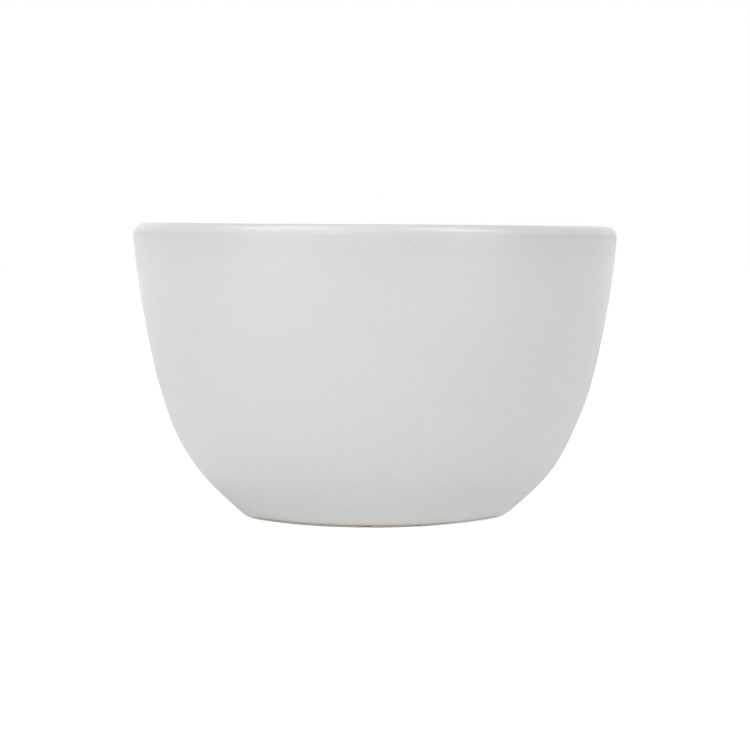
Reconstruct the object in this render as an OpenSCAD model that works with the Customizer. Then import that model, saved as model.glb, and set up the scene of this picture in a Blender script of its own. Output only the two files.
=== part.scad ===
// Consomme cup without handles, in white glazed stoneware.
// One fired clay body stands on a bare foot ring. Four coats of glaze cover the rest of it:
// the outside, the dipped rim, the inside and the recess under the base. They meet edge to edge.
// Sizes are in millimetres. The origin is on the table, in the middle of the foot ring, with +Z up.

/* [Cup] */
// Outside diameter of the rim, over the glaze
rim_d = 105; // [85:0.5:130]
// Height of the rim above the table, over the glaze
cup_h = 62.5; // [50:0.5:80]
// Thickness of the clay in the wall, which the lip rounds over
wall_t = 4.1; // [3:0.1:5.5]
// Thickness of the clay in the middle of the floor
floor_t = 5; // [3.5:0.1:7]

/* [Wall curve] */
// Lean of the wall just under the lip, in degrees from upright
lip_lean = 3.4; // [1:0.1:6]
// Part of the wall's whole turn that its upper arc takes, in percent
wall_turn = 39; // [25:1:55]
// Turn of the belly at the foot beyond that of one plain arc, in degrees
heel_turn = 14.4; // [8:0.2:20]
// Radius inside the cup, from the belly into the floor
bowl_r = 18; // [10:0.5:28]

/* [Foot] */
// Outside diameter of the foot ring
foot_d = 59; // [46:0.5:72]
// Width of the foot ring
ring_w = 4.5; // [3:0.1:7]
// Height of the bare clay between the table and the outside glaze
bare_h = 0.65; // [0.5:0.05:2]
// Bevel on the two lower edges of the foot ring
ring_bevel = 0.3; // [0.1:0.05:0.4]
// Depth of the recess inside the foot ring
recess_h = 1.6; // [1:0.1:3]
// Lean of the recess wall, in degrees from upright
recess_lean = 35; // [10:1:50]

/* [Glaze] */
// Thickness of each coat of glaze
glaze_t = 0.35; // [0.2:0.05:0.6]
// Depth of the rim dip, from the top of the rim down the outside and the inside
dip_h = 7.4; // [4.5:0.1:16]
// Width of the bare clay left around the glaze in the recess
recess_bare = 1.2; // [0.5:0.1:4]

/* [Hidden] */
$fn = 256;

clay_colour = [0.68, 0.62, 0.56];
glaze_colour = [0.88, 0.88, 0.87];

// Radii and levels
rim_r = rim_d / 2;
foot_r = foot_d / 2;
lip_r = wall_t / 2;
dip_z = cup_h - dip_h;
floor_z = recess_h + floor_t;
ring_inner_r = foot_r - ring_w;
recess_r = ring_inner_r - recess_h * tan(recess_lean);

// Direction square to a wall of a given lean, pointing out of the cup
function outward(lean) = [cos(lean), -sin(lean)];

// Run of an arc of radius 1, from its lower lean to its upper one
function arc_run(upper, lower) = outward(upper) - outward(lower);

function cross_2d(a, b) = a.x * b.y - a.y * b.x;

// The lip is a half round on the clay, and the glaze goes over it
lip_c = [rim_r - glaze_t - lip_r, cup_h - glaze_t - lip_r];
wall_top = lip_c + lip_r * outward(lip_lean);
heel = [foot_r, bare_h];
whole_run = wall_top - heel;

// Leans of the outside: one plain arc from lip to heel would end at plain_lean.
// A long wall arc and a rounder belly arc share the turn instead, with one tangent between them.
plain_lean = 2 * atan2(whole_run.x, whole_run.y) - lip_lean;
waist_lean = lip_lean + (plain_lean - lip_lean) * wall_turn / 100;
heel_lean = plain_lean + heel_turn;

// Radii that carry the two arcs all the way from the heel to the lip, and the arcs' centres
wall_run = arc_run(lip_lean, waist_lean);
belly_run = arc_run(waist_lean, heel_lean);
run_area = cross_2d(wall_run, belly_run);
wall_r = cross_2d(whole_run, belly_run) / run_area;
belly_r = cross_2d(wall_run, whole_run) / run_area;
wall_c = wall_top - wall_r * outward(lip_lean);
belly_c = wall_c + (wall_r - belly_r) * outward(waist_lean);

// The inside runs parallel to the outside, then rounds into the flat floor.
// That round leaves the belly, or the wall where it is too large to start below the waist.
function bowl_start(c, r) = asin((c.y - floor_z - bowl_r) / (r - wall_t - bowl_r));
starts_on_belly = bowl_start(belly_c, belly_r) > waist_lean;
start_c = starts_on_belly ? belly_c : wall_c;
start_r = starts_on_belly ? belly_r : wall_r;
bowl_lean = bowl_start(start_c, start_r);
bowl_c = start_c + (start_r - wall_t - bowl_r) * outward(bowl_lean);

// Height of the line that runs out from a centre at a lean
function line_z(c, lean, x) = c.y - (x - c.x) * tan(lean);

// Half section above the line from a centre at a lean, up to the line at the lip
module above_line(c, lean) {
    polygon([
        [0, line_z(c, lean, 0)],
        [rim_r, line_z(c, lean, rim_r)],
        [rim_r, line_z(wall_c, lip_lean, rim_r)],
        [0, line_z(wall_c, lip_lean, 0)]
    ]);
}

// Half section above a level, up to the line at the lip
module above_level(level) {
    polygon([
        [0, level],
        [rim_r, level],
        [rim_r, line_z(wall_c, lip_lean, rim_r)],
        [0, line_z(wall_c, lip_lean, 0)]
    ]);
}

// Half section between two levels
module between_levels(low, high) {
    translate([0, low]) square([rim_r, high - low]);
}

// Half section of everything within the outside of the clay, grown by a coat, from heel to lip.
// The belly's circle lies within the wall's circle and touches it at the waist.
module outside_area(coat) {
    intersection() {
        translate(wall_c) circle(wall_r + coat);
        above_line(wall_c, waist_lean);
    }
    intersection() {
        translate(belly_c) circle(belly_r + coat);
        above_level(bare_h);
    }
}

// Half section of the hollow in the clay, narrowed by a coat, from floor to lip.
// The floor's round lies within the circle that it starts from and touches it there.
module hollow_area(coat) {
    intersection() {
        outside_area(-wall_t - coat);
        above_line(start_c, bowl_lean);
    }
    intersection() {
        union() {
            translate(bowl_c) circle(bowl_r - coat);
            square([bowl_c.x, cup_h]);
        }
        above_level(floor_z + coat);
    }
}

// Half section of the wall, lip and floor with a coat over them, from the heel up
module coated_area(coat) {
    translate(lip_c) circle(lip_r + coat);
    difference() {
        outside_area(coat);
        hollow_area(coat);
    }
}

// Half section of the foot, from the table up into the floor
module foot_area() {
    polygon([
        [0, 0],
        [foot_r - ring_bevel, 0],
        [foot_r, ring_bevel],
        [foot_r, floor_z - floor_t / 2],
        [0, floor_z - floor_t / 2]
    ]);
}

// Half section of the recess inside the foot ring
module recess_area() {
    polygon([
        [0, 0],
        [ring_inner_r + ring_bevel, 0],
        [ring_inner_r, ring_bevel],
        [recess_r, recess_h],
        [0, recess_h]
    ]);
}

module stoneware_body() {
    color(clay_colour) rotate_extrude() difference() {
        union() {
            coated_area(0);
            foot_area();
        }
        recess_area();
    }
}

// Coat on the outside, from the bare foot up to the rim dip
module outer_glaze() {
    color(glaze_colour) rotate_extrude() difference() {
        intersection() {
            outside_area(glaze_t);
            between_levels(bare_h, dip_z);
        }
        outside_area(0);
    }
}

// Coat over the lip, left by dipping the rim
module rim_glaze() {
    color(glaze_colour) rotate_extrude() difference() {
        intersection() {
            coated_area(glaze_t);
            between_levels(dip_z, cup_h);
        }
        coated_area(0);
    }
}

// Coat on the inside, from the rim dip down over the floor
module inner_glaze() {
    color(glaze_colour) rotate_extrude() difference() {
        intersection() {
            hollow_area(0);
            between_levels(floor_z, dip_z);
        }
        hollow_area(glaze_t);
    }
}

// Disc of glaze on the roof of the recess
module recess_glaze() {
    color(glaze_colour)
        translate([0, 0, recess_h - glaze_t])
            cylinder(h = glaze_t, r = recess_r - recess_bare);
}

stoneware_body();
outer_glaze();
rim_glaze();
inner_glaze();
recess_glaze();
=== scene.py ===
"""Looks of a handle-less consomme cup in white glazed stoneware.

Five lathe-turned pieces stand for the five CAD nodes: the clay and its four coats of glaze.
The sections follow the part's own construction, in millimetres, and then take on what a
fired cup has: a rim that sits a little askew, faint throwing rings and bulges, a lip that is
squarer on one side, beaded glaze edges and a worn foot. The glaze is darker towards the rim,
and painted lighter low down at the right front and along the foot, a painted bounce light.
+X is right and +Y is away in the photograph. Angles round the cup start at +X, so its front
is at -90 degrees.
"""
import math

import bpy
import numpy as np
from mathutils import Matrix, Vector


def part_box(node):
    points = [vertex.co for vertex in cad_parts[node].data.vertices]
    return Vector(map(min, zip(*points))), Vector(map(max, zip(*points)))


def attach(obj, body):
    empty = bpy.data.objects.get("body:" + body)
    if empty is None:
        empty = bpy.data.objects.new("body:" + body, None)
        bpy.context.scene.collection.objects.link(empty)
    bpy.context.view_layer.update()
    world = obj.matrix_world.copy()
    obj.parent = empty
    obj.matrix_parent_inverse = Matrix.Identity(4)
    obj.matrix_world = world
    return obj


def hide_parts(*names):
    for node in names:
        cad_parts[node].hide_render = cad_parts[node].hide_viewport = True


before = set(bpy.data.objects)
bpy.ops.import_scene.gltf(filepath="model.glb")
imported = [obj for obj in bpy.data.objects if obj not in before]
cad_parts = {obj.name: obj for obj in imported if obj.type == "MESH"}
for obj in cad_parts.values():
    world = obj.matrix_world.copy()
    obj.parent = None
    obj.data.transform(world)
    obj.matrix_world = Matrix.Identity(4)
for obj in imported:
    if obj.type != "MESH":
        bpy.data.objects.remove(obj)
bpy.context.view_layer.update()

MM = 0.001


def box_mm(node_name):
    """Lowest and highest corner of a CAD node, in millimetres."""
    low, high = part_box(node_name)
    return np.array(low) / MM, np.array(high) / MM


# Sizes read from the CAD nodes
rim_low, rim_high = box_mm("rim_glaze")
recess_low, recess_high = box_mm("recess_glaze")
RIM_R, CUP_H, DIP_Z = rim_high[0], rim_high[2], rim_low[2]
BARE_H = box_mm("outer_glaze")[0][2]
FLOOR_Z = box_mm("inner_glaze")[0][2]
RECESS_H, RECESS_GLAZE_R = recess_high[2], recess_high[0]
GLAZE_T = recess_high[2] - recess_low[2]

# Sizes repeated from the CAD
WALL_T = 4.1
LIP_LEAN = math.radians(3.4)
WALL_TURN = 0.39
HEEL_TURN = math.radians(14.4)
BOWL_R = 18.0
FOOT_R = 29.5
RING_W = 4.5
RING_BEVEL = 0.3
RECESS_LEAN = math.radians(35)

# Unevenness of the fired cup. Angles are in degrees, and half widths of patches in radians.
RIM_TILT = 0.0083          # slope of the rim, lower towards +X
TILT_START_Z = 12.0        # the lower wall stays level
LIP_SQUARE = 0.016         # share by which the lip's corners stand out of a half round
LIP_SQUARE_SWING = 0.05    # more towards +X, less towards -X
THROWING_RINGS = (         # level, half height and radial size of each soft ring
    (28.5, 5.0, 0.06),
    (19.5, 4.5, -0.10),
    (9.4, 3.4, 0.10),
    (3.9, 1.5, -0.12),
)
SOFT_BULGES = (            # angle, half width, level, half height and radial size of each
    (180, 0.7, 17.2, 5.5, 0.22),
    (0, 0.7, 7.7, 4.5, 0.28),
    (0, 0.7, 18.7, 4.5, -0.16),
    (-149, 0.20, 0.2, 0.8, 1.05),
    (-27, 0.10, 0.2, 0.7, 0.35),
)
FOOT_CHIPS = (             # angle, half width in millimetres, height and depth of each chip
    (-93.4, 1.1, 0.40, 0.40),
    (-73.5, 1.0, 0.36, 0.34),
    (58.0, 0.8, 0.40, 0.25),
    (171.0, 0.9, 0.35, 0.30),
)
CHIP_FACE = 0.8            # share of the standing face's width that no chip reaches
CHIP_DARK = 0.3            # depth from which a chip has its full colour
RECESS_CORNER = 0.5        # half height of the oval that rounds the recess's roof into its wall
CORNER_REACH = 1.3         # how much wider than high that oval is
HEEL_ROWS_Z = 1.6          # level up to which the clay's rows are close

# Thickness of the glaze, and where its colour is darker, lighter, or painted lighter by bounce
# light
RIM_SWELL = 0.05           # the rim dip is a second, thicker coat
SWELL_RUN = 4.0            # height over which it swells
SKIRT_LEAST = 0.3          # share of a coat that is left where it reaches the table
BEAD_RUN = 0.80            # length over which the glaze edge rounds down to the clay
BEAD_T, BEAD_HALF = 0.07, 0.5       # extra thickness and half length of the bead behind it
EDGE_RUN, EDGE_HALF = 0.05, 0.22    # where the clay shows through the edge on the outside
RECESS_EDGE_HALF = 0.3              # the same in the recess
DIP_FADE = 3.4             # height over which the rim dip's look sets in
DIP_LINE_Z, DIP_LINE_HALF = 60.3, 0.55      # darkest line of the dip, where the lip's round ends
DIP_REST_DARK, DIP_LINE_DARK = 0.34, 0.92   # how dark the dip is elsewhere and on that line
LIP_BAND = (0.15, 1.35)    # heights over the lip's centre between which its gloss sets in
UPPER_DARK_LEVELS = (46.0, 58.7)     # levels between which the glaze turns darker towards the top
RIGHT_BOUNCE_LEVELS = (2.0, 8.5)        # levels below which it is painted lighter, a painted bounce light from the floor, at the right front
FOOT_BOUNCE_LEVELS = (1.0, 4.8)     # the same painted bounce light along the foot line, but for the left
RIGHT_BOUNCE_SHARE, FOOT_BOUNCE_SHARE = 0.65, 0.42  # how far the painted bounce light turns it whiter in these two places
HEEL_DARK_LEVELS = (2.0, 13.5)        # levels below which it is darker and warmer over the heel, at the left

SEGMENTS = 512
ANGLE = np.arange(SEGMENTS) * 2 * math.pi / SEGMENTS
COS, SIN = np.cos(ANGLE), np.sin(ANGLE)
SHARP_EDGE = math.radians(50)


# Section of the clay

def outward(lean):
    """Direction square to a wall of a given lean from upright, pointing out of the cup."""
    return np.array((math.cos(lean), -math.sin(lean)))


def cross(a, b):
    return a[0] * b[1] - a[1] * b[0]


FOOT_SIDE = np.array((FOOT_R, BARE_H))
LIP_R = WALL_T / 2
LIP_C = np.array((RIM_R - GLAZE_T - LIP_R, CUP_H - GLAZE_T - LIP_R))
LIP_OUTER_Z = LIP_C[1] - LIP_R * math.sin(LIP_LEAN)
LIP_INNER_Z = LIP_C[1] + LIP_R * math.sin(LIP_LEAN)
WALL_TOP = LIP_C + LIP_R * outward(LIP_LEAN)
WHOLE_RUN = WALL_TOP - FOOT_SIDE
PLAIN_LEAN = 2 * math.atan2(WHOLE_RUN[0], WHOLE_RUN[1]) - LIP_LEAN
WAIST_LEAN = LIP_LEAN + (PLAIN_LEAN - LIP_LEAN) * WALL_TURN
HEEL_LEAN = PLAIN_LEAN + HEEL_TURN
WALL_RUN = outward(LIP_LEAN) - outward(WAIST_LEAN)
BELLY_RUN = outward(WAIST_LEAN) - outward(HEEL_LEAN)
WALL_R = cross(WHOLE_RUN, BELLY_RUN) / cross(WALL_RUN, BELLY_RUN)
BELLY_R = cross(WALL_RUN, WHOLE_RUN) / cross(WALL_RUN, BELLY_RUN)
WALL_C = WALL_TOP - WALL_R * outward(LIP_LEAN)
BELLY_C = WALL_C + (WALL_R - BELLY_R) * outward(WAIST_LEAN)
BOWL_LEAN = math.asin((BELLY_C[1] - FLOOR_Z - BOWL_R) / (BELLY_R - WALL_T - BOWL_R))
BOWL_C = BELLY_C + (BELLY_R - WALL_T - BOWL_R) * outward(BOWL_LEAN)
RING_INNER_R = FOOT_R - RING_W
RECESS_R = RING_INNER_R - RECESS_H * math.tan(RECESS_LEAN)


def arc_r(centre, radius, z):
    """Radius from the cup's axis of an arc at a level."""
    return centre[0] + np.sqrt(radius ** 2 - (z - centre[1]) ** 2)


def outside_r(z, coat=0.0):
    """Radius of the outside at a level, over a coat. Below the heel it draws in to the foot."""
    skirt = SKIRT_LEAST + (1 - SKIRT_LEAST) * np.minimum(z / BARE_H, 1)
    z = np.maximum(z, BARE_H)
    waist_z = WALL_C[1] - (WALL_R + coat) * math.sin(WAIST_LEAN)
    wall = arc_r(WALL_C, WALL_R + coat, np.maximum(z, waist_z))
    belly = arc_r(BELLY_C, BELLY_R + coat, np.minimum(z, waist_z))
    return np.where(z > waist_z, wall, FOOT_R + (belly - FOOT_R) * skirt)


def inside_wall_r(z, coat=0.0):
    """Radius of the inside at a level of the upper wall, within a coat."""
    return arc_r(WALL_C, WALL_R - WALL_T - coat, z)


def inside_curve(coat, top_z, arc_rows):
    """Points of the inside from a level of the upper wall down to the floor's edge."""
    radius = WALL_R - WALL_T - coat
    top_lean = math.asin((WALL_C[1] - top_z) / radius)
    arcs = (
        (WALL_C, radius, top_lean, WAIST_LEAN),
        (BELLY_C, BELLY_R - WALL_T - coat, WAIST_LEAN, BOWL_LEAN),
        (BOWL_C, BOWL_R - coat, BOWL_LEAN, math.pi / 2),
    )
    points = []
    for centre, arc_radius, first, last in arcs:
        for lean in np.linspace(first, last, arc_rows):
            points.append(centre + arc_radius * outward(lean))
    return points


# Unevenness that the clay and its coats share

def smoothstep(low, high, value):
    share = np.clip((value - low) / (high - low), 0, 1)
    return share * share * (3 - 2 * share)


def peak(distance, half):
    """Share that fades from 1 to 0 on both sides of a place."""
    return np.exp(-(distance / half) ** 2)


def turn_from(degrees):
    """Turn in radians, up to half a circle either way, from an angle round the cup."""
    return np.angle(np.exp(1j * (ANGLE - math.radians(degrees))))


def patch(degrees, half_width):
    """Share that fades from 1 at an angle round the cup to 0 on both sides of it."""
    return peak(turn_from(degrees), half_width)


def wave(*terms):
    """Sum of cosines round the cup, each term a count, a phase and a size."""
    return sum(size * np.cos(count * ANGLE + phase) for count, phase, size in terms)


def wall_wander(z):
    """Radial size of the throwing rings and soft bulges at a level, round the cup."""
    rings = sum(size * peak(z - level, half) for level, half, size in THROWING_RINGS)
    return rings + sum(size * patch(degrees, half_width) * peak(z - level, half)
                       for degrees, half_width, level, half, size in SOFT_BULGES)


# Round the cup: the rim's level, the foot's worn edge, and the edges of the glaze
RIGHT_FRONT = smoothstep(0.1, 0.95, np.cos(ANGLE + math.radians(25)))
RIM_WAVE = wave((2, 0.6, 0.05), (3, 2.1, 0.04), (5, 0.9, 0.025))
FOOT_BEVEL = 0.16 + 0.10 * RIGHT_FRONT + wave((4, 1.0, 0.03), (7, 2.4, 0.02))
FOOT_LIFT = 0.27 * patch(-48, 0.42)
GLAZE_RUNS = patch(-157, 0.17) + patch(-23, 0.17)
GLAZE_LINE_Z = (0.42 + 0.03 * RIGHT_FRONT - 0.32 * GLAZE_RUNS
                + wave((3, 0.4, 0.02), (5, 1.9, 0.02), (11, 0.2, 0.015), (23, 1.1, 0.01)))
RECESS_EDGE = wave((3, 1.2, 0.35), (5, 0.3, 0.25), (8, 2.2, 0.18), (17, 0.7, 0.08))

# Round the cup: shares of the places where the glaze is darker or lighter, and where bounce light
# is painted on
RIGHT_BOUNCE_LIGHT = RIGHT_BOUNCE_SHARE * patch(-42, 0.6)
FOOT_LINE_BOUNCE_LIGHT = FOOT_BOUNCE_SHARE * (1 - patch(-180, 0.75))
LEFT_HEEL = patch(-180, 0.58)
# Where the dip's darker tone is lighter: at the front, and less so at the left
DIP_LIGHTER = 0.9 * patch(-95, 0.24) + 0.5 * patch(180, 0.35)


def ring(r, z):
    """Ring of points at a radius and level, in millimetres, on the uneven cup."""
    z = z + np.zeros(SEGMENTS)
    r = (r + np.zeros(SEGMENTS)) * (1 + wall_wander(z) / RIM_R)
    x, y = r * COS, r * SIN
    lift = smoothstep(TILT_START_Z, CUP_H, z)
    return np.stack((x, y, z + lift * (RIM_WAVE * r / RIM_R - RIM_TILT * x)), 1)


def pole(z):
    """Point on the cup's axis."""
    return np.array(((0.0, 0.0, z),))


def lip_ring(coat, turn):
    """Ring on the lip, turned from the outside, 0, over the top to the inside, pi."""
    corner = (LIP_SQUARE + LIP_SQUARE_SWING * COS) * math.sin(2 * turn) ** 2
    radius = (LIP_R + coat) * (1 + corner)
    across, up = radius * math.cos(turn), radius * math.sin(turn)
    lean_cos, lean_sin = math.cos(LIP_LEAN), math.sin(LIP_LEAN)
    return ring(LIP_C[0] + across * lean_cos + up * lean_sin,
                LIP_C[1] - across * lean_sin + up * lean_cos)


# Meshes

def add_to_scene(name, data):
    """Object that holds a mesh, lamp or camera, linked into the scene."""
    holder = bpy.data.objects.new(name, data)
    bpy.context.scene.collection.objects.link(holder)
    return holder


def lathe(name, rings, closed):
    """Solid through rings of points. A single point closes an end on the axis."""
    starts = np.cumsum([0] + [len(points) for points in rings])
    steps = np.arange(SEGMENTS)
    nexts = np.roll(steps, -1)
    pairs = list(zip(range(len(rings) - 1), range(1, len(rings))))
    if closed:
        pairs.append((len(rings) - 1, 0))
    faces = []
    for low, high in pairs:
        a, b = starts[low], starts[high]
        if len(rings[low]) == 1:
            strip = np.stack((np.full(SEGMENTS, a), b + nexts, b + steps), 1)
        elif len(rings[high]) == 1:
            strip = np.stack((a + steps, a + nexts, np.full(SEGMENTS, b)), 1)
        else:
            strip = np.stack((a + steps, a + nexts, b + nexts, b + steps), 1)
        faces.extend(strip.tolist())
    mesh = bpy.data.meshes.new(name)
    mesh.from_pydata((np.concatenate(rings) * MM).tolist(), [], faces)
    mesh.shade_smooth()
    mesh.set_sharp_from_angle(angle=SHARP_EDGE)
    return add_to_scene(name, mesh)


def mark(piece, name, values):
    """Keeps one number for each point of a piece, for its material."""
    attribute = piece.data.attributes.new(name, "FLOAT", "POINT")
    attribute.data.foreach_set("value", np.asarray(values, np.float32))


def mark_upper_dark(piece):
    """Marks how far the glaze is darker towards the top at each point, and gives the points'
    levels.
    """
    points = np.array([vertex.co for vertex in piece.data.vertices]) / MM
    levels = points[:, 2] + RIM_TILT * points[:, 0]
    mark(piece, "upper_dark", smoothstep(*UPPER_DARK_LEVELS, levels))
    return levels


def edge_coat(run):
    """Thickness of the glaze at a distance from its free edge: a round edge, then a bead."""
    round_off = np.sqrt(1 - (1 - np.clip(run / BEAD_RUN, 0, 1)) ** 2)
    bead = BEAD_T * peak(run - BEAD_RUN, BEAD_HALF)
    return (GLAZE_T + bead) * round_off


def rim_coat(z):
    """Thickness of the rim dip at a level: flush with its neighbours, then swelling."""
    return GLAZE_T + RIM_SWELL * smoothstep(DIP_Z, DIP_Z + SWELL_RUN, z)


def make_outer_glaze():
    face_rows, back_rows = 92, 30
    face_crowding, back_crowding = 2.2, 1.6     # rows lie closer towards the foot
    rings, thin = [], []
    for share in np.linspace(0, 1, face_rows) ** face_crowding:
        z = GLAZE_LINE_Z + (DIP_Z - GLAZE_LINE_Z) * share
        run = (z - GLAZE_LINE_Z) / math.cos(HEEL_LEAN)
        rings.append(ring(outside_r(z, edge_coat(run)), z))
        thin.append(peak(run - EDGE_RUN, EDGE_HALF))
    for share in np.linspace(1, 0, back_rows)[:-1] ** back_crowding:
        z = GLAZE_LINE_Z + (DIP_Z - GLAZE_LINE_Z) * share
        rings.append(ring(outside_r(z), z))
        thin.append(np.zeros(SEGMENTS))
    piece = lathe("outer_glaze_coat", rings, closed=True)
    mark(piece, "thin", np.concatenate(thin))
    levels = mark_upper_dark(piece).reshape(-1, SEGMENTS)
    # Painted bounce light: whiter low down at the right front and along the foot line
    painted_bounce_light = (1 - smoothstep(*RIGHT_BOUNCE_LEVELS, levels)) * RIGHT_BOUNCE_LIGHT
    painted_bounce_light += (1 - smoothstep(*FOOT_BOUNCE_LEVELS, levels)) * FOOT_LINE_BOUNCE_LIGHT
    mark(piece, "painted_bounce_light", painted_bounce_light.reshape(-1))
    heel_dark = (1 - smoothstep(*HEEL_DARK_LEVELS, levels)) * LEFT_HEEL
    mark(piece, "heel_dark", heel_dark.reshape(-1))
    return piece


def make_rim_glaze():
    lip_rows, wall_rows, back_rows = 57, 20, 6
    back_turn_step = 4
    turns = np.linspace(0, math.pi, lip_rows)
    rings = [ring(outside_r(z, rim_coat(z)), z)
             for z in np.linspace(DIP_Z, LIP_OUTER_Z, wall_rows)[:-1]]
    rings += [lip_ring(GLAZE_T + RIM_SWELL, turn) for turn in turns]
    rings += [ring(inside_wall_r(z, rim_coat(z)), z)
              for z in np.linspace(LIP_INNER_Z, DIP_Z, wall_rows)[1:]]
    rings += [ring(inside_wall_r(z), z) for z in np.linspace(DIP_Z, LIP_INNER_Z, back_rows)[:-1]]
    rings += [lip_ring(0.0, turn) for turn in turns[::-back_turn_step]]
    rings += [ring(outside_r(z), z) for z in np.linspace(LIP_OUTER_Z, DIP_Z, back_rows)[1:]]
    piece = lathe("rim_glaze_coat", rings, closed=True)
    levels = mark_upper_dark(piece)
    band = smoothstep(DIP_Z, DIP_Z + DIP_FADE, levels)
    line = peak(levels - DIP_LINE_Z, DIP_LINE_HALF)
    lip = smoothstep(*LIP_BAND, levels - LIP_C[1])
    lighter_dip = np.tile(DIP_LIGHTER, len(rings)) * (1 - lip)
    mark(piece, "dip", band * (DIP_REST_DARK + (DIP_LINE_DARK - DIP_REST_DARK) * line) * (1 - lighter_dip))
    mark(piece, "lip", lip)
    return piece


def make_inner_glaze():
    back_floor_rows, back_arc_rows = 8, 9
    face_floor_rows, face_arc_rows = 22, 26
    face_z = FLOOR_Z + GLAZE_T
    rings = [pole(FLOOR_Z)]
    rings += [ring(r, FLOOR_Z) for r in np.linspace(0, BOWL_C[0], back_floor_rows)[1:-1]]
    rings += [ring(r, z) for r, z in inside_curve(0.0, DIP_Z, back_arc_rows)[::-1]]
    rings += [ring(r, z) for r, z in inside_curve(GLAZE_T, DIP_Z, face_arc_rows)]
    rings += [ring(r, face_z) for r in np.linspace(BOWL_C[0], 0, face_floor_rows)[1:-1]]
    rings.append(pole(face_z))
    piece = lathe("inner_glaze_coat", rings, closed=False)
    mark_upper_dark(piece)
    return piece


def make_recess_glaze():
    face_rows, face_crowding = 40, 0.6  # rows lie closer towards the edge
    edge_fade = 4                       # the edge's wander soon fades towards the middle
    back_shares = (0.8, 0.5, 0.2)
    rings, thin = [pole(RECESS_H - GLAZE_T)], [np.zeros(1)]
    for share in np.linspace(0, 1, face_rows)[1:] ** face_crowding:
        run = (1 - share) * RECESS_GLAZE_R
        r = share * (RECESS_GLAZE_R + RECESS_EDGE * share ** edge_fade)
        rings.append(ring(r, RECESS_H - edge_coat(np.full(SEGMENTS, run))))
        thin.append(np.full(SEGMENTS, peak(run, RECESS_EDGE_HALF)))
    for share in back_shares:
        rings.append(ring(share * RECESS_GLAZE_R, RECESS_H))
        thin.append(np.zeros(SEGMENTS))
    rings.append(pole(RECESS_H))
    thin.append(np.zeros(1))
    piece = lathe("recess_glaze_coat", rings, closed=False)
    mark(piece, "thin", np.concatenate(thin))
    return piece


def chip_share(z):
    """How much of a chip there is at each point of a ring on the foot's outer edge."""
    share = np.zeros(SEGMENTS)
    for degrees, half, height, depth in FOOT_CHIPS:
        across = turn_from(degrees) * FOOT_R
        share += depth * np.exp(-(across / half) ** 4 - (z / height) ** 2)
    return share


def recess_rows():
    """Radius and level of each row over the recess's roof, corner and wall, down to its bevel."""
    roof_rows, corner_rows, wall_rows, bevel_rows = 16, 7, 12, 7
    roof_r = RECESS_R - RECESS_CORNER
    corner_turn = math.pi / 2 - RECESS_LEAN
    for r in np.linspace(0, roof_r, roof_rows)[1:]:
        yield r, RECESS_H
    for turn in np.linspace(0, corner_turn, corner_rows)[1:]:
        wall_top_r = roof_r + RECESS_CORNER * CORNER_REACH * math.sin(turn)
        wall_top_z = RECESS_H - RECESS_CORNER * (1 - math.cos(turn))
        yield wall_top_r, wall_top_z
    for share in np.linspace(0, 1, wall_rows)[1:]:
        yield (wall_top_r + (RING_INNER_R - wall_top_r) * share,
               wall_top_z + (RING_BEVEL - wall_top_z) * share)
    for turn in np.linspace(0, math.pi / 2, bevel_rows)[1:]:
        yield (RING_INNER_R + RING_BEVEL * (1 - math.cos(turn)),
               RING_BEVEL * (1 - math.sin(turn)))


def foot_rows():
    """Radius and level of each row over the standing face, worn edge and bare side of the foot,
    and whether chips reach it."""
    face_rows, edge_rows, side_rows = 9, 8, 6
    face_start = RING_INNER_R + RING_BEVEL
    for share in np.linspace(0, 1, face_rows)[1:]:
        yield face_start + (FOOT_R - FOOT_BEVEL - face_start) * share, 0.0, share > CHIP_FACE
    for turn in np.linspace(0, math.pi / 2, edge_rows)[1:]:
        yield (FOOT_R - FOOT_BEVEL * (1 - math.sin(turn)),
               FOOT_BEVEL * (1 - math.cos(turn)), True)
    for share in np.linspace(0, 1, side_rows)[1:]:
        yield FOOT_R, FOOT_BEVEL + (BARE_H - FOOT_BEVEL) * share, True


def covered_rings():
    """Rings of the clay under the glaze, up the outside, over the lip and down to the floor."""
    heel_rows, wall_rows, lip_rows, arc_rows, floor_rows = 10, 30, 17, 9, 8
    heel_levels = np.linspace(BARE_H, HEEL_ROWS_Z, heel_rows)[1:]
    wall_levels = np.linspace(HEEL_ROWS_Z, LIP_OUTER_Z, wall_rows)[1:-1]
    rings = [ring(outside_r(z), z) for z in np.concatenate((heel_levels, wall_levels))]
    rings += [lip_ring(0.0, turn) for turn in np.linspace(0, math.pi, lip_rows)]
    rings += [ring(r, z) for r, z in inside_curve(0.0, LIP_INNER_Z, arc_rows)[1:]]
    rings += [ring(r, FLOOR_Z) for r in np.linspace(BOWL_C[0], 0, floor_rows)[1:-1]]
    return rings


def make_stoneware():
    rings, chips = [pole(RECESS_H)], [np.zeros(1)]
    rows = [(r, z, False) for r, z in recess_rows()] + list(foot_rows())
    for r, z, chipped in rows:
        chip = chip_share(z) if chipped else np.zeros(SEGMENTS)
        lift = FOOT_LIFT * (1 - smoothstep(0, BARE_H, z)) * smoothstep(RECESS_R, FOOT_R, r)
        rings.append(ring(r - chip, z + lift))
        chips.append(chip)
    covered = covered_rings()
    rings += covered + [pole(FLOOR_Z)]
    chips.append(np.zeros(len(covered) * SEGMENTS + 1))
    piece = lathe("stoneware_cup_body", rings, closed=False)
    mark(piece, "chip", np.minimum(np.concatenate(chips) / CHIP_DARK, 1))
    return piece


# Materials

SPOT_CORE = 0.35           # share of a spot's radius over which it is full
NOISE_SPAN = (0.3, 0.7)    # between these are nearly all values of a noise

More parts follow.
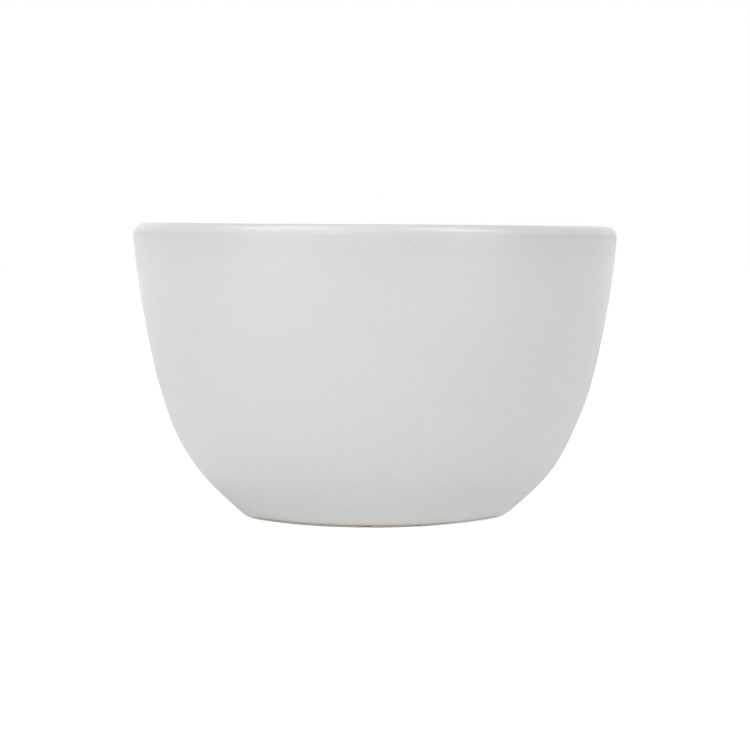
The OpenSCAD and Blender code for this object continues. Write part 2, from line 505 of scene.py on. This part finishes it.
GLAZE_WHITE = (0.792, 0.793, 0.793, 1)
GLAZE_CLOUD = (0.782, 0.783, 0.782, 1)
GLAZE_PIT = (0.700, 0.700, 0.694, 1)
GLAZE_THIN = (0.620, 0.560, 0.490, 1)
GLAZE_UPPER_DARK = (0.755, 0.756, 0.755, 1)
# Painted bounce light: the glaze made whiter low down, where light from the floor falls
GLAZE_BOUNCE_LIT = (0.910, 0.911, 0.912, 1)
GLAZE_HEEL_DARK = (0.585, 0.568, 0.555, 1)
RIM_WHITE = (0.705, 0.706, 0.703, 1)
IRON = (0.420, 0.400, 0.370, 1)
PINHOLE_TINT = 0.45        # how far a pinhole takes on the colour of a pit
MOTTLE_TINT = 0.32         # how far the mottle does
MOTTLE_SPAN = (0.42, 0.75)          # values of the mottle over which it does
GLAZE_ROUGHNESS = (0.33, 0.42)
GLAZE_IOR = 1.5
LIP_GLOSS = 0.7            # weight of the clear coat on the lip
LIP_ROUGHNESS = 0.2

CLAY_TAN = (0.560, 0.475, 0.395, 1)
CLAY_PALE = (0.620, 0.540, 0.460, 1)
CLAY_GROG = (0.380, 0.300, 0.230, 1)
CLAY_CHIP = (0.380, 0.315, 0.255, 1)
SAND_TINT, GROG_TINT = 0.5, 0.7     # how far sand and grog take on the grog's colour
SAND_SPAN = (0.5, 0.8)     # values of the sand over which it does
PALE_SPAN = (0.35, 0.7)    # values of the patches over which they turn pale
CLAY_ROUGHNESS = (0.78, 0.95)
TURNING_MARKS = 5200       # radians of the turning marks' wave for each metre from the axis


def node(tree, kind, inputs=None, **settings):
    """Adds a node. Each input takes a number, a colour or another node's output."""
    made = tree.nodes.new("ShaderNode" + kind)
    for name, value in settings.items():
        setattr(made, name, value)
    for name, value in (inputs or {}).items():
        if isinstance(value, bpy.types.NodeSocket):
            tree.links.new(value, made.inputs[name])
        else:
            made.inputs[name].default_value = value
    return made


def marked(tree, name):
    """Number that a piece keeps for each of its points, or 0 where it keeps none."""
    return node(tree, "Attribute", attribute_name=name).outputs["Fac"]


def noise(tree, place, scale, detail=2.0, roughness=0.5):
    """Noise whose features are about 1 / scale metres."""
    return node(tree, "TexNoise", {"Vector": place, "Scale": scale, "Detail": detail,
                                   "Roughness": roughness}).outputs["Fac"]


def span(tree, value, low, high, to_low=0.0, to_high=1.0):
    """Maps a number from one span to another, softly at the ends."""
    made = node(tree, "MapRange", {"Value": value, "From Min": low, "From Max": high,
                                   "To Min": to_low, "To Max": to_high},
                interpolation_type="SMOOTHSTEP")
    return made.outputs["Result"]


def math_of(tree, operation, first, second):
    made = node(tree, "Math", {0: first, 1: second}, operation=operation)
    return made.outputs["Value"]


def tint(tree, share, first, second):
    """First colour turning to the second as share goes from 0 to 1."""
    made = node(tree, "Mix", {0: share, 6: first, 7: second}, data_type="RGBA")
    return made.outputs[2]


def spots(tree, place, scale, radius, chosen):
    """Round spots at random points, on a chosen share of the cells, 1 in their middle."""
    cells = node(tree, "TexVoronoi", {"Vector": place, "Scale": scale, "Randomness": 1.0})
    pick = node(tree, "SeparateColor", {"Color": cells.outputs["Color"]})
    shown = math_of(tree, "LESS_THAN", pick.outputs["Red"], chosen)
    round_spot = span(tree, cells.outputs["Distance"], radius * SPOT_CORE, radius, 1.0, 0.0)
    return math_of(tree, "MULTIPLY", round_spot, shown)


def bump(tree, share, height, under=None):
    """Bump that rises to a real height in metres as share goes to 1, on top of another one."""
    inputs = {"Height": share, "Strength": 1.0, "Distance": height}
    if under is not None:
        inputs["Normal"] = under
    return node(tree, "Bump", inputs).outputs["Normal"]


def new_material(name):
    """Material with one shader, its nodes, and the place on the piece."""
    material = bpy.data.materials.new(name)
    material.use_nodes = True
    tree = material.node_tree
    tree.nodes.clear()
    shader = node(tree, "BsdfPrincipled")
    output = node(tree, "OutputMaterial")
    tree.links.new(shader.outputs["BSDF"], output.inputs["Surface"])
    place = node(tree, "TexCoord").outputs["Object"]
    return material, tree, shader, place


def glaze_material(name, rim_band):
    """Satin white glaze: clouding, eggshell mottle, pinholes, iron specks, uneven gloss."""
    material, tree, shader, place = new_material(name)
    cloud = noise(tree, place, scale=45, detail=3)
    mottle = noise(tree, place, scale=1100, detail=3, roughness=0.6)
    pinholes = spots(tree, place, scale=900, radius=0.16, chosen=0.35)
    specks = spots(tree, place, scale=300, radius=0.055, chosen=0.16)
    colour = tint(tree, span(tree, cloud, *NOISE_SPAN), GLAZE_CLOUD, GLAZE_WHITE)
    colour = tint(tree, marked(tree, "upper_dark"), colour, GLAZE_UPPER_DARK)
    # Painted bounce light, low down at the right front and along the foot
    colour = tint(tree, marked(tree, "painted_bounce_light"), colour, GLAZE_BOUNCE_LIT)
    colour = tint(tree, marked(tree, "heel_dark"), colour, GLAZE_HEEL_DARK)
    if rim_band:
        colour = tint(tree, marked(tree, "dip"), colour, RIM_WHITE)
    pits = span(tree, mottle, *MOTTLE_SPAN, 0.0, MOTTLE_TINT)
    colour = tint(tree, pits, colour, GLAZE_PIT)
    colour = tint(tree, math_of(tree, "MULTIPLY", pinholes, PINHOLE_TINT), colour, GLAZE_PIT)
    colour = tint(tree, specks, colour, IRON)
    colour = tint(tree, marked(tree, "thin"), colour, GLAZE_THIN)
    tree.links.new(colour, shader.inputs["Base Color"])
    roughness = span(tree, mottle, *NOISE_SPAN, *GLAZE_ROUGHNESS)
    tree.links.new(roughness, shader.inputs["Roughness"])
    shader.inputs["IOR"].default_value = GLAZE_IOR
    if rim_band:
        gloss = math_of(tree, "MULTIPLY", marked(tree, "lip"), LIP_GLOSS)
        tree.links.new(gloss, shader.inputs["Coat Weight"])
        shader.inputs["Coat Roughness"].default_value = LIP_ROUGHNESS
        shader.inputs["Coat IOR"].default_value = GLAZE_IOR
    normal = bump(tree, noise(tree, place, scale=55, detail=1), height=0.04 * MM)
    normal = bump(tree, mottle, height=0.008 * MM, under=normal)
    between = math_of(tree, "SUBTRACT", 1.0, pinholes)
    normal = bump(tree, between, height=0.02 * MM, under=normal)
    tree.links.new(normal, shader.inputs["Normal"])
    return material


def clay_material(name):
    """Bare fired stoneware: tan, sandy and matt, with grog, turning marks and dark chips."""
    material, tree, shader, place = new_material(name)
    patches = noise(tree, place, scale=160, detail=3)
    sand = noise(tree, place, scale=3200, detail=2, roughness=0.7)
    grog = spots(tree, place, scale=1300, radius=0.22, chosen=0.3)
    colour = tint(tree, span(tree, patches, *PALE_SPAN), CLAY_TAN, CLAY_PALE)
    colour = tint(tree, span(tree, sand, *SAND_SPAN, 0.0, SAND_TINT), colour, CLAY_GROG)
    colour = tint(tree, math_of(tree, "MULTIPLY", grog, GROG_TINT), colour, CLAY_GROG)
    colour = tint(tree, marked(tree, "chip"), colour, CLAY_CHIP)
    tree.links.new(colour, shader.inputs["Base Color"])
    roughness = span(tree, sand, *NOISE_SPAN, *CLAY_ROUGHNESS)
    tree.links.new(roughness, shader.inputs["Roughness"])
    across = node(tree, "VectorMath", {0: place, 1: (1, 1, 0)}, operation="MULTIPLY")
    reach = node(tree, "VectorMath", {0: across.outputs["Vector"]}, operation="LENGTH")
    wave_place = math_of(tree, "MULTIPLY", reach.outputs["Value"], TURNING_MARKS)
    normal = bump(tree, math_of(tree, "SINE", wave_place, 0), height=0.015 * MM)
    normal = bump(tree, sand, height=0.06 * MM, under=normal)
    normal = bump(tree, grog, height=0.04 * MM, under=normal)
    tree.links.new(normal, shader.inputs["Normal"])
    return material


# Studio

FLOOR_HALF = 3.0           # metres from the cup to the edge of the studio's floor
STAGE_Z = -0.02 * MM       # level of that floor, just under the foot
FLOOR_COLOUR = (0.86, 0.86, 0.86, 1)
FLOOR_GLOW = 0.45          # in reflections, on top of the lit floor, so that it is white
FLOOR_WHITE = 0.72         # seen by the camera on top of the lit floor
FLOOR_FADE = (0.20, 0.75)  # metres from the cup over which the glow goes up to 1
WHITE = (1, 1, 1, 1)
AMBIENT = 0.225            # light from all round

PLAIN = (1.0, 1.0, 1.0)
FAINT_YELLOW = (1.0, 1.0, 0.95)
FAINTER_YELLOW = (1.0, 1.0, 0.96)
LIGHTS = (  # name, place in metres, width, height, power in watts, colour, what it lights
    ("key_left", (-0.60, -0.70, 0.80), 1.10, 1.00, 4.4, PLAIN, "all"),
    ("side_left", (-0.95, -0.45, 0.35), 0.70, 0.70, 1.1, PLAIN, "all"),
    ("low_left", (-0.85, -0.85, 0.15), 0.50, 0.25, 2.45, PLAIN, "all"),
    ("front_right", (0.90, -0.80, 0.40), 0.70, 0.70, 1.12, FAINT_YELLOW, "all"),
    ("side_right", (1.05, -0.25, 0.38), 0.60, 0.60, 1.05, FAINT_YELLOW, "matt"),
    ("low_right", (0.85, -0.85, 0.15), 0.50, 0.25, 2.75, FAINT_YELLOW, "all"),
    ("back", (0.0, 1.30, 0.20), 0.45, 0.30, 5.0, PLAIN, "matt"),
    ("top", (0.0, 0.10, 1.20), 0.90, 0.90, 1.6, PLAIN, "all"),
    ("card_left", (-0.455, -0.03, 1.035), 0.64, 0.50, 1.9, PLAIN, "gloss"),
    ("card_right", (0.56, -0.39, 0.97), 0.40, 0.85, 3.1, FAINTER_YELLOW, "gloss"),
)
LIGHTS_AIM = Vector((0, 0, 0.035))

# Beam into the cup: place and lamp size in metres, power in watts
FILL_PLACE = (0.0, 0.0, 1.20)
FILL_POWER = 9.0
FILL_ANGLE = math.radians(7)
FILL_SIZE = 0.05

# Camera: place in metres, lens and sensor in millimetres
CAMERA_PLACE = (0.0, -0.4577, 0.0601)
CAMERA_TILT = math.radians(90 - 3.80)   # from straight down
CAMERA_LENS, SENSOR_WIDTH = 100.16, 36


def seen_directly(tree):
    """1 for rays of the camera, of gloss and through glass, and 0 for the rest."""
    rays = node(tree, "LightPath").outputs
    seen = math_of(tree, "MAXIMUM", rays["Is Camera Ray"], rays["Is Glossy Ray"])
    return math_of(tree, "MAXIMUM", seen, rays["Is Transmission Ray"])


def make_world():
    world = bpy.data.worlds.new("studio")
    world.use_nodes = True
    tree = world.node_tree
    tree.nodes.clear()
    ambient = node(tree, "Background", {"Color": WHITE, "Strength": AMBIENT})
    white = node(tree, "Background", {"Color": WHITE, "Strength": 1.0})
    mixed = node(tree, "MixShader", {0: seen_directly(tree), 1: ambient.outputs[0],
                                     2: white.outputs[0]})
    output = node(tree, "OutputWorld")
    tree.links.new(mixed.outputs[0], output.inputs["Surface"])
    bpy.context.scene.world = world


def floor_material():
    """White floor that takes a shadow and glows a little, so that it meets the white world."""
    material = bpy.data.materials.new("floor_white")
    material.use_nodes = True
    tree = material.node_tree
    tree.nodes.clear()
    lit = node(tree, "BsdfDiffuse", {"Color": FLOOR_COLOUR})
    place = node(tree, "TexCoord").outputs["Object"]
    away = node(tree, "VectorMath", {0: place}, operation="LENGTH").outputs["Value"]
    seen = node(tree, "LightPath").outputs["Is Camera Ray"]
    near = span(tree, seen, 0.0, 1.0, FLOOR_GLOW, FLOOR_WHITE)
    strength = span(tree, away, *FLOOR_FADE, near, 1.0)
    glow = node(tree, "Emission", {"Color": WHITE, "Strength": strength})
    both = node(tree, "AddShader", {0: lit.outputs[0], 1: glow.outputs[0]})
    mixed = node(tree, "MixShader", {0: seen_directly(tree), 1: lit.outputs[0],
                                     2: both.outputs[0]})
    output = node(tree, "OutputMaterial")
    tree.links.new(mixed.outputs[0], output.inputs["Surface"])
    return material


def make_floor():
    signs = ((-1, -1), (1, -1), (1, 1), (-1, 1))
    corners = [(x * FLOOR_HALF, y * FLOOR_HALF, STAGE_Z) for x, y in signs]
    mesh = bpy.data.meshes.new("floor")
    mesh.from_pydata(corners, [], [(0, 1, 2, 3)])
    mesh.materials.append(floor_material())
    floor = add_to_scene("floor", mesh)


def make_lights():
    for name, place, width, height, power, colour, gives in LIGHTS:
        lamp = bpy.data.lights.new(name, "AREA")
        lamp.shape = "RECTANGLE"
        lamp.size, lamp.size_y = width, height
        lamp.energy = power
        lamp.color = colour
        holder = add_to_scene(name, lamp)
        holder.visible_diffuse = gives != "gloss"
        holder.visible_glossy = gives != "matt"
        holder.location = place
        way = Vector(place) - LIGHTS_AIM
        holder.rotation_euler = way.to_track_quat("Z", "Y").to_euler()


def make_inside_fill():
    """Soft beam straight down into the cup, so that the white inside doesn't go grey."""
    lamp = bpy.data.lights.new("inside_fill", "SPOT")
    lamp.energy = FILL_POWER
    lamp.spot_size = FILL_ANGLE
    lamp.spot_blend = 1.0
    lamp.shadow_soft_size = FILL_SIZE
    holder = add_to_scene("inside_fill", lamp)
    holder.visible_glossy = False
    holder.location = FILL_PLACE


def make_camera():
    data = bpy.data.cameras.new("camera")
    data.lens = CAMERA_LENS
    data.sensor_width = SENSOR_WIDTH
    holder = add_to_scene("camera", data)
    holder.location = CAMERA_PLACE
    holder.rotation_euler = (CAMERA_TILT, 0, 0)
    bpy.context.scene.camera = holder


def finish_piece(piece, node_name, material):
    piece.data.materials.append(material)
    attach(piece, "root")
    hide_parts(node_name)


white_glaze = glaze_material("satin_white_glaze", rim_band=False)
rim_glaze = glaze_material("rim_dip_glaze", rim_band=True)
stoneware = clay_material("bare_stoneware")

finish_piece(make_stoneware(), "stoneware_body", stoneware)
finish_piece(make_outer_glaze(), "outer_glaze", white_glaze)
finish_piece(make_rim_glaze(), "rim_glaze", rim_glaze)
finish_piece(make_inner_glaze(), "inner_glaze", white_glaze)
finish_piece(make_recess_glaze(), "recess_glaze", white_glaze)

make_world()
make_floor()
make_lights()
make_inside_fill()
make_camera()
bpy.context.scene.view_settings.view_transform = "Standard"
